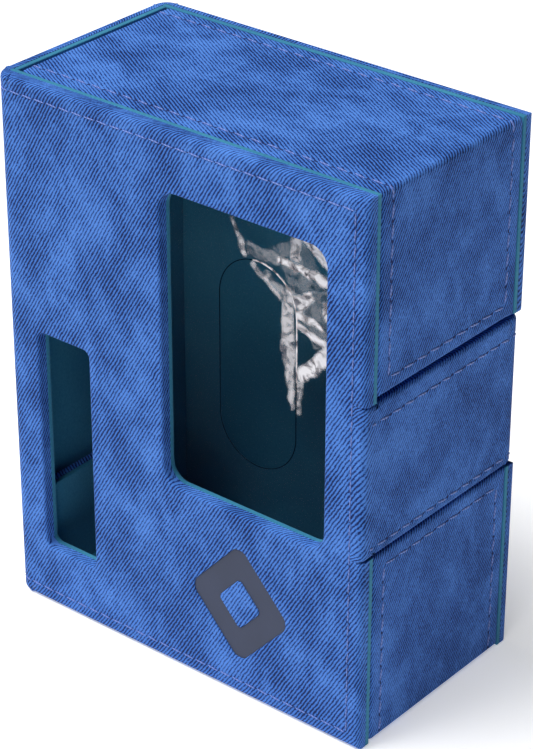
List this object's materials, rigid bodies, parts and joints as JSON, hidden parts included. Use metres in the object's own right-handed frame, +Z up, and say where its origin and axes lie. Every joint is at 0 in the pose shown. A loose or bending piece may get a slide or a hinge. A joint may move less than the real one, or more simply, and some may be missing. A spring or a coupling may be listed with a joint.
{
  "type": "card deck box",
  "caption": "Book-style deck box of fabric-wrapped board: hinged spine and windowed front cover, lined tray, and a strap that folds round the side into the back.",
  "frame": {"origin": "middle of the underside of the closed box, on the surface it stands on", "axes": "+X along the front face away from the spine, +Y from the front cover to the back cover, +Z up"},
  "size_m": [0.0794, 0.0436, 0.103],
  "materials": {
    "twill_fabric": "brushed twill print, matt",
    "microfibre_lining": "short-napped microfibre, matt",
    "greyboard": "raw grey board",
    "sewing_thread": "twisted polyester thread",
    "nickel_plated_magnet": "nickel plate",
    "clear_film": "clear soft film",
    "debossed_leatherette": "smooth heat-pressed patch"
  },
  "bodies": {
    "root": {"back_cover_board": "greyboard", "back_cover_wrap": "twill_fabric", "back_cover_lining": "microfibre_lining", "back_cover_stitching": "sewing_thread", "catch_magnets": "nickel_plated_magnet", "top_wall_board": "greyboard", "bottom_wall_board": "greyboard", "left_wall_board": "greyboard", "upper_right_wall_board": "greyboard", "lower_right_wall_board": "greyboard", "tray_wrap": "twill_fabric", "tray_stitching": "sewing_thread", "top_wall_lining": "microfibre_lining", "bottom_wall_lining": "microfibre_lining", "left_wall_lining": "microfibre_lining", "upper_right_wall_lining": "microfibre_lining", "lower_right_wall_lining": "microfibre_lining", "back_left_fold": "twill_fabric"},
    "spine": {"spine_board": "greyboard", "spine_wrap": "twill_fabric", "spine_lining": "microfibre_lining", "spine_stitching": "sewing_thread", "front_left_fold": "twill_fabric"},
    "front_cover": {"front_cover_board": "greyboard", "front_cover_wrap": "twill_fabric", "front_cover_lining": "microfibre_lining", "front_cover_stitching": "sewing_thread", "card_pocket_film": "clear_film", "emblem": "debossed_leatherette", "front_right_fold": "twill_fabric"},
    "closure_strap": {"strap_board": "greyboard", "strap_wrap": "twill_fabric", "strap_lining": "microfibre_lining", "strap_stitching": "sewing_thread", "back_right_fold": "twill_fabric"},
    "strap_tip": {"strap_tip_board": "greyboard", "strap_tip_wrap": "twill_fabric", "strap_tip_lining": "microfibre_lining", "strap_tip_stitching": "sewing_thread", "tip_magnets": "nickel_plated_magnet"}
  },
  "joints": [
    {"name": "spine_hinge", "type": "hinge", "parent": "root", "child": "spine", "pos_m": [-0.0391, 0.02115, 0], "axis": [0, 0, -1], "range_deg": [0, 90], "deforming": ["back_left_fold"]},
    {"name": "front_cover_hinge", "type": "hinge", "parent": "spine", "child": "front_cover", "pos_m": [-0.0391, -0.02115, 0], "axis": [0, 0, -1], "range_deg": [0, 120], "deforming": ["front_left_fold", "strap_tip_board", "strap_tip_wrap", "strap_tip_lining", "strap_tip_stitching", "tip_magnets"]},
    {"name": "strap_hinge", "type": "hinge", "parent": "front_cover", "child": "closure_strap", "pos_m": [0.0391, -0.02115, 0], "axis": [0, 0, -1], "range_deg": [0, 120], "deforming": ["front_right_fold"]},
    {"name": "strap_tip_hinge", "type": "hinge", "parent": "closure_strap", "child": "strap_tip", "pos_m": [0.0391, 0.02115, 0], "axis": [0, 0, -1], "range_deg": [0, 90], "deforming": ["back_right_fold"]}
  ]
}
